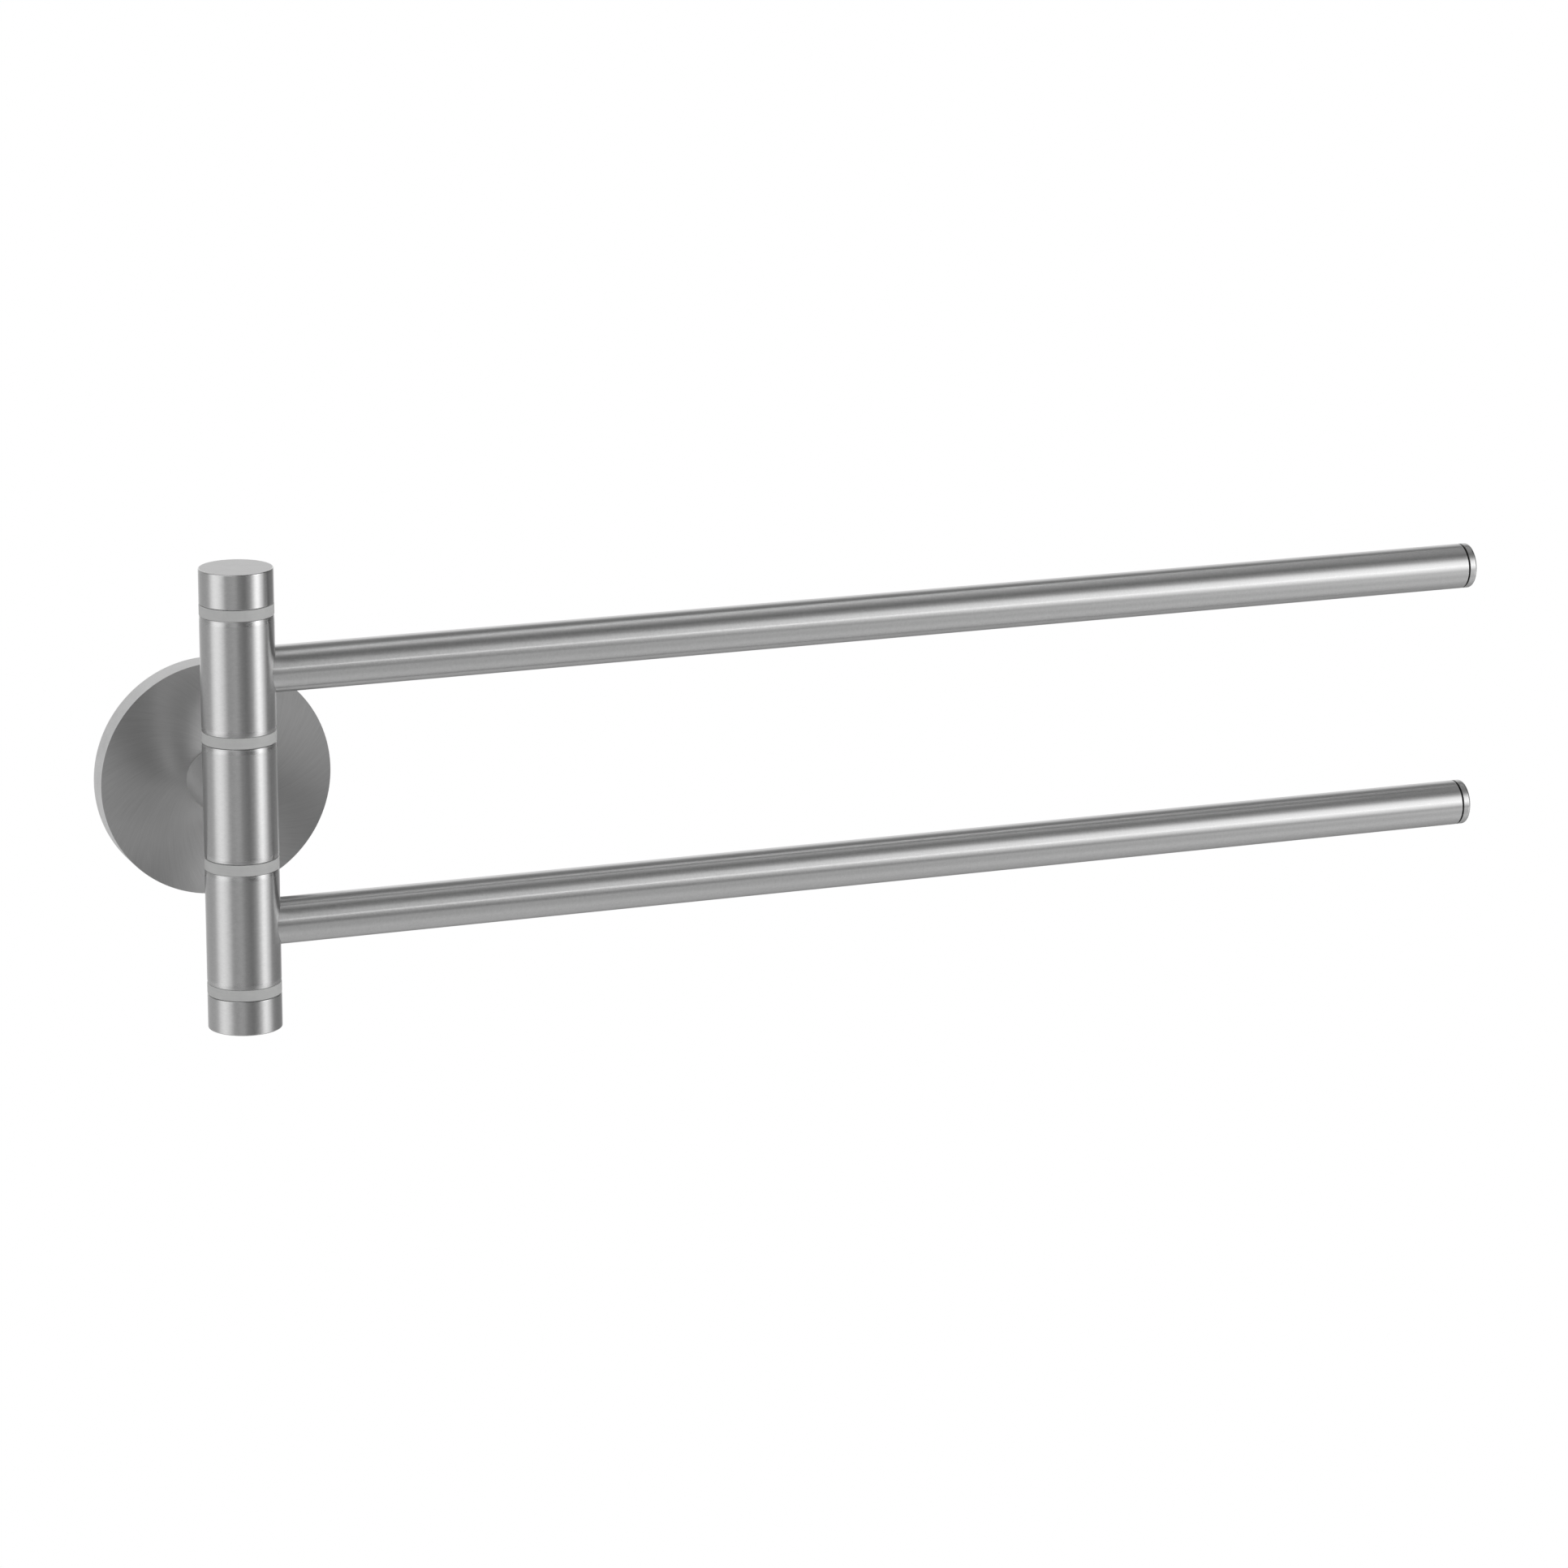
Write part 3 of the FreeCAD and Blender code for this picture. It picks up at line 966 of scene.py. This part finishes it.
# %% Turn the rosette
ROSETTE_SIDES = 288
ROSETTE_FACE = 1.5 * MM
ROSETTE_RIM = 2.2 * MM
ROSETTE_EDGE = 0.06 * MM
BOLT_WAY = 3.2 * MM
GRUB_HOLE = 1.55 * MM

inside_depth = rosette_depth - ROSETTE_FACE
rosette_bore = rosette_radius - ROSETTE_RIM
on_wall = stood_up(Vector((0, 0, 0)), FROM_WALL, RIGHT)
cup_corners = [
    (BOLT_WAY, inside_depth, 0),
    (rosette_bore, inside_depth, 0),
    (rosette_bore, 0, 0),
    (rosette_radius, 0, 0),
    (rosette_radius, rosette_depth, ROSETTE_EDGE),
    (BOLT_WAY, rosette_depth, 0),
]
cup = turned("rosette_cup", cup_corners, on_wall, satin, swirled, closed=True, sides=ROSETTE_SIDES)

grub_centre = FROM_WALL * (sum(span("rosette_grub_screw", Y)) / -2)
grub_way = grub_centre + DOWN * (rosette_bore - DRILL_OVERRUN)
bored(cup, drill(GRUB_HOLE, grub_way, DOWN, ROSETTE_RIM + 2 * DRILL_OVERRUN))
print("rosette face mm", round(ROSETTE_FACE / MM, SIZE_DIGITS), "finishes", len(cup.data.materials))

# %% [markdown]
# ## A map along the spiral scratches
# The sheen of the face has to lie square to its arcs. An unwrapping tool could flatten the face, but it
# knows nothing of the arcs. So the map is worked out: u is the logarithm of the radius, and v is the
# number that stays the same along an arc, so that u runs along the scratches. An angle jumps by a full
# turn at one place, so each corner is counted from the middle of its own face.

# %% Map the rosette's face
def swirl_map(piece):
    """Maps the faces with the swirled finish along its spiral scratches, and returns their number."""
    mesh = piece.data
    layer = mesh.uv_layers.new(name=SWIRL)
    finish_index = mesh.materials.find(swirled.name)
    faces = [polygon for polygon in mesh.polygons if polygon.material_index == finish_index]
    for face in faces:
        face_angle = math.atan2(face.center.z, face.center.x)
        for loop in face.loop_indices:
            corner = mesh.vertices[mesh.loops[loop].vertex_index].co
            turn = math.atan2(corner.z, corner.x)
            turn += math.tau * round((face_angle - turn) / math.tau)
            log_radius = math.log(math.hypot(corner.x, corner.z))
            layer.data[loop].uv = (log_radius, turn - math.tan(swirl_angle) * log_radius)
    return len(faces)


print(cup.name, "swirled faces", swirl_map(cup))
dress(cup, "wall_bracket", "rosette")

# %% [markdown]
# ## The neck
# The neck is a spacer that carries the post in front of the rosette. It could be one piece with the
# rosette, but then the rosette's face couldn't be ground flat, so it is a short tube of its own. Its
# outline starts at the post's axis and runs towards the wall, and the cope fits its front to the post.

# %% Turn the neck
NECK_EDGE = 0.12 * MM

neck_radius = half_width("neck", X)
neck_length = -post_centre.y - rosette_depth
neck_corners = [
    (BOLT_WAY, 0, 0),
    (neck_radius, 0, 0),
    (neck_radius, neck_length, NECK_EDGE),
    (BOLT_WAY, neck_length, 0),
]
toward_wall = stood_up(post_centre, INTO_WALL, RIGHT)
neck_cope = post_radius + PRESS_GAP
neck = turned("neck_spacer", neck_corners, toward_wall, steel, closed=True, cope=neck_cope)
dress(neck, "wall_bracket", "neck")

# %% [markdown]
# ## The neck bolt
# A bolt from inside the rosette holds neck and sleeve together. It is seen only from behind, so it
# could stay a plain pin, but a hexagon socket is what tells a fastener from a pin. It is turned like
# the rest, and a drill with six sides cuts the socket.

# %% Turn the bolt
HEXAGON = 6
BOLT_SIDES = 96
BOLT_SHANK = 3.0 * MM
BOLT_HEAD_ROUND = 1.6 * MM
BOLT_TIP_EDGE = 0.3 * MM
BOLT_SOCKET = 2.31 * MM
BOLT_SOCKET_DEPTH = 2.0 * MM

bolt_head = half_width("neck_bolt", X)
bolt_tip, bolt_top = (-place for place in span("neck_bolt", Y))
bolt_corners = [
    (0, bolt_top, 0),
    (bolt_head, bolt_top, BOLT_HEAD_ROUND),
    (bolt_head, inside_depth, 0),
    (BOLT_SHANK, inside_depth, 0),
    (BOLT_SHANK, bolt_tip, BOLT_TIP_EDGE),
    (0, bolt_tip, 0),
]
bolt = turned("neck_socket_bolt", bolt_corners, on_wall, zinc, sides=BOLT_SIDES)
behind_bolt = FROM_WALL * (bolt_top - DRILL_OVERRUN)
bored(bolt, drill(BOLT_SOCKET, behind_bolt, FROM_WALL, BOLT_SOCKET_DEPTH + DRILL_OVERRUN, HEXAGON))
dress(bolt, "wall_bracket", "neck_bolt")

# %% [markdown]
# ## The set screw
# A set screw under the rim locks the rosette on its plate, and only its end shows, deep in a hole. The
# CAD node could take the zinc finish as it is, but it has no socket for a key. So the screw is made as
# the bolt is, on a smaller scale.

# %% Turn the set screw
GRUB_SIDES = 64
GRUB_TIP_EDGE = 0.4 * MM
GRUB_END_EDGE = 0.2 * MM
GRUB_SOCKET = 0.87 * MM
GRUB_SOCKET_DEPTH = 1.5 * MM

grub_radius = half_width("rosette_grub_screw", X)
grub_end, grub_start = (-place for place in span("rosette_grub_screw", Z))
grub_corners = [
    (0, grub_start, 0),
    (grub_radius, grub_start, GRUB_TIP_EDGE),
    (grub_radius, grub_end, GRUB_END_EDGE),
    (0, grub_end, 0),
]
from_below = stood_up(grub_centre, DOWN, RIGHT)
grub = turned("rosette_set_screw", grub_corners, from_below, zinc, sides=GRUB_SIDES)
socket_floor = grub_centre + DOWN * (grub_end - GRUB_SOCKET_DEPTH)
bored(grub, drill(GRUB_SOCKET, socket_floor, DOWN, GRUB_SOCKET_DEPTH + DRILL_OVERRUN, HEXAGON))
dress(grub, "wall_bracket", "rosette_grub_screw")

# %% [markdown]
# ## Camera
# The photograph is taken from a little left of the post and from above, with a long lens. A camera
# could be moved about until the picture looks right. Here bearing, height and distance come from
# matching the post's joints, the rosette's outline and the bars' edges, because those give the
# proportions too.

# %% Place the camera
IMAGE_SIDE = 1932
SENSOR_WIDTH = 36.0
focal_pixels = 8000
camera_bearing = math.radians(20.876)
camera_height = math.radians(14.562)
camera_distance = 1697.468 * MM
camera_aim = Vector((147.278 * MM, post_centre.y, -9.831 * MM))

camera_data = bpy.data.cameras.new("camera")
camera_data.sensor_width = SENSOR_WIDTH
camera_data.lens = SENSOR_WIDTH * focal_pixels / IMAGE_SIDE
level = math.cos(camera_height)
back = Vector((-math.sin(camera_bearing) * level, -math.cos(camera_bearing) * level,
               math.sin(camera_height)))
camera = bpy.data.objects.new("camera", camera_data)
camera.location = camera_aim + back * camera_distance
camera.rotation_euler = (-back).to_track_quat("-Z", "Y").to_euler()
bpy.context.scene.collection.objects.link(camera)
bpy.context.scene.camera = camera
camera_place = [round(value, 3) for value in camera.location]
print("lens mm", round(camera_data.lens, 1), "camera at", camera_place)

# %% [markdown]
# ## Lamps
# A wide softbox on the left draws the broad band on the post, and a small one on the right, with a
# weaker fill beside it, draws the narrow one. A thin strip in front sharpens the bright band along each
# bar, and another overhead gives the fine line along the bar's top. Bare lamps would light the rail as
# well, but metal shows their hard edges. So each lamp is brightest in its middle and dim towards its
# edges, as the cloth of a softbox is.

# %% Softboxes and strip lamps
def soft_edges(light):
    """Makes a lamp brightest in the middle and dim towards its edges."""
    light.use_nodes = True
    tree = light.node_tree
    place = parts_of(tree, add(tree, "ShaderNodeNewGeometry").outputs["Parametric"])
    glow = 1.0
    for side in ("X", "Y"):
        offset = spread(tree, place[side], -1.0, 1.0)
        fall = calculate(tree, "SUBTRACT", 1.0, calculate(tree, "MULTIPLY", offset, offset))
        glow = calculate(tree, "MULTIPLY", fall, glow)
    fill(tree, tree.nodes["Emission"], {"Strength": glow})


def lamp(name, place, size, radiance):
    """A rectangular lamp with a given radiance in its middle, which stays out of the picture."""
    light = bpy.data.lights.new(name, "AREA")
    light.shape = "RECTANGLE"
    light.size, light.size_y = size
    light.energy = radiance * math.pi * size[0] * size[1]
    soft_edges(light)
    box = bpy.data.objects.new(name, light)
    box.matrix_world = place
    box.visible_camera = False
    bpy.context.scene.collection.objects.link(box)
    print(name, "watts", round(light.energy, 2), "at", [round(value, 2) for value in box.location])


def softbox(name, bearing, height, distance, size, radiance):
    """A lamp that faces the post; bearing is in degrees from the front, positive to the right."""
    turn, rise = math.radians(bearing), math.radians(height)
    away = Vector((math.sin(turn) * math.cos(rise), -math.cos(turn) * math.cos(rise), math.sin(rise)))
    facing = (-away).to_track_quat("-Z", "Y").to_matrix().to_4x4()
    lamp(name, Matrix.Translation(post_centre + away * distance) @ facing, size, radiance)


STRIP_CENTRE = Vector((0.36, 0.085, 0.73))
STRIP_TURN = math.radians(50)

softbox("left_softbox", bearing=-78, height=6, distance=1.2, size=(1.4, 1.6), radiance=0.85)
softbox("right_softbox", bearing=45, height=13, distance=0.9, size=(0.54, 0.80), radiance=1.9)
softbox("right_fill", bearing=58, height=10, distance=0.8, size=(0.60, 1.2), radiance=0.8)
softbox("front_strip", bearing=22, height=12, distance=1.0, size=(0.5, 0.05), radiance=4.5)
strip_place = Matrix.Translation(STRIP_CENTRE) @ Matrix.Rotation(STRIP_TURN, 4, "Z")
lamp("overhead_strip", strip_place, size=(0.8, 0.04), radiance=5.0)

# %% [markdown]
# ## The room
# Metal shows the room around it, so the room matters more than the lamps. Most of the front and right
# of this one is dark, the left is grey, and a white backdrop hangs behind. Walls could be built of
# panels, but a world of nodes is lighter and has no corners. It is drawn in bands: what stands low, the
# walls, what hangs high, and the ceiling. A colour ramp over the bearing gives a band its tones, and
# the height of a direction picks the band.

# %% Tones of the room
HALF_TURN, FULL_TURN = 180, 360
LOW_TONES = ((-160, 0.5), (-95, 0.85), (-50, 0.35), (12, 0.28), (50, 1.0), (85, 0.5), (160, 0.3))
WALL_TONES = ((-180, 1.0), (-160, 0.52), (-118, 0.32), (-80, 0.58), (-42, 0.4), (-22, 0.56), (-4, 0.22),
              (14, 0.05), (34, 0.05), (60, 0.5), (95, 0.05), (125, 0.2), (150, 0.95), (180, 1.0))
HIGH_TONES = ((-160, 0.4), (-100, 0.65), (-45, 1.1), (-5, 0.08), (110, 0.08), (160, 0.2))
CEILING_TONE = 0.5
WALLS_BEGIN, HIGH_BEGINS, CEILING_BEGINS = (-20, -10), (28, 40), (62, 74)


def grey(tone):
    """A neutral colour."""
    return (tone, tone, tone, 1.0)


def tones_round(tree, bearing, tones):
    """Colour by bearing, from (degrees, tone) stops."""
    ramp = add(tree, "ShaderNodeValToRGB", {"Fac": spread(tree, bearing, 0.0, 1.0, -math.pi, math.pi)})
    ramp.color_ramp.interpolation = "EASE"
    stops = ramp.color_ramp.elements
    stops.remove(stops[0])
    for index, (degrees, tone) in enumerate(tones):
        share = (degrees + HALF_TURN) / FULL_TURN
        stop = stops[0] if index == 0 else stops.new(share)
        stop.position = share
        stop.color = grey(tone)
    return ramp.outputs["Color"]


def room_colour(tree):
    """What metal sees of the room in each direction."""
    way = parts_of(tree, add(tree, "ShaderNodeTexCoord").outputs["Generated"])
    bearing = calculate(tree, "ARCTAN2", way["X"], calculate(tree, "MULTIPLY", way["Y"], -1.0))
    bands = (
        (WALLS_BEGIN, tones_round(tree, bearing, WALL_TONES)),
        (HIGH_BEGINS, tones_round(tree, bearing, HIGH_TONES)),
        (CEILING_BEGINS, grey(CEILING_TONE)),
    )
    colour = tones_round(tree, bearing, LOW_TONES)
    for heights, band in bands:
        low, high = (math.sin(math.radians(height)) for height in heights)
        colour = blend(tree, spread(tree, way["Z"], 0.0, 1.0, low, high), colour, band)
    return colour


print("tones low", len(LOW_TONES), "on the walls", len(WALL_TONES), "high", len(HIGH_TONES))

# %% [markdown]
# ## Who sees the room
# A photographer hangs white paper behind the rail, and the metal still mirrors the rest of the room. A
# sheet could hang here too, but it would stand in the way of views from behind. So the world answers
# each ray by its kind: the camera sees plain white, gloss sees the room, and surfaces without gloss get
# one even light.

# %% Light the room
PLAIN_LIGHT = 0.75
WHITE = 1.0


def room():
    """World: white to the camera, a room with a white backdrop to metal, plain light to the rest."""
    world = bpy.data.worlds.new("studio")
    world.use_nodes = True
    tree = world.node_tree
    ray = add(tree, "ShaderNodeLightPath").outputs
    mirrored = calculate(tree, "MAXIMUM", ray["Is Glossy Ray"], ray["Is Transmission Ray"])
    lit = blend(tree, mirrored, grey(PLAIN_LIGHT), room_colour(tree))
    seen = blend(tree, ray["Is Camera Ray"], lit, grey(WHITE))
    fill(tree, tree.nodes["Background"], {"Color": seen})
    return world


bpy.context.scene.world = room()
bpy.context.scene.view_settings.view_transform = "Standard"
print("room", bpy.context.scene.world.name, "nodes", len(bpy.context.scene.world.node_tree.nodes))

# %% [markdown]
# ## The floor
# The rail hangs on a wall, so the floor is far below it and only sends a little light back up. It could
# be an endless plane, but its far edge would show as a horizon in views from the side. A round sheet
# that fades out towards its rim has no edge to show.

# %% Lay the floor
FLOOR_SIDES = 192
FLOOR_LEVEL = -1.0
FLOOR_RADIUS = 1.1
FADE_START = FLOOR_RADIUS / 3
FLOOR_CLOUD = {"scale": 4.0, "detail": 2.0}
FLOOR_DARK, FLOOR_LIGHT = 0.66, 0.70
FLAT = (1, 1, 0)


def pale_finish():
    """A matte, faintly clouded grey that fades out away from the middle."""
    material, tree, shader = blank_finish("pale_floor_finish")
    place = add(tree, "ShaderNodeTexCoord").outputs["Object"]
    flat_place = add(tree, "ShaderNodeVectorMath", {0: place, 1: FLAT}, operation="MULTIPLY").outputs[0]
    reach = add(tree, "ShaderNodeVectorMath", {0: flat_place}, operation="LENGTH").outputs["Value"]
    cloud = object_noise(tree, **FLOOR_CLOUD)
    inputs = {
        "Base Color": blend(tree, cloud, grey(FLOOR_DARK), grey(FLOOR_LIGHT)),
        "Roughness": 0.9,
        "Alpha": spread(tree, reach, 1.0, 0.0, FADE_START, FLOOR_RADIUS),
    }
    fill(tree, shader, inputs)
    return material


def pale_floor():
    """A round floor below the rail, for the studio only."""
    shape = bmesh.new()
    bmesh.ops.create_circle(shape, cap_ends=True, segments=FLOOR_SIDES, radius=FLOOR_RADIUS)
    bmesh.ops.translate(shape, verts=shape.verts, vec=UP * FLOOR_LEVEL)
    mesh = bpy.data.meshes.new("floor")
    shape.to_mesh(mesh)
    shape.free()
    mesh.materials.append(pale_finish())
    floor = bpy.data.objects.new("floor", mesh)
    bpy.context.scene.collection.objects.link(floor)
    return floor


print("stage", pale_floor().name, "at level", FLOOR_LEVEL)
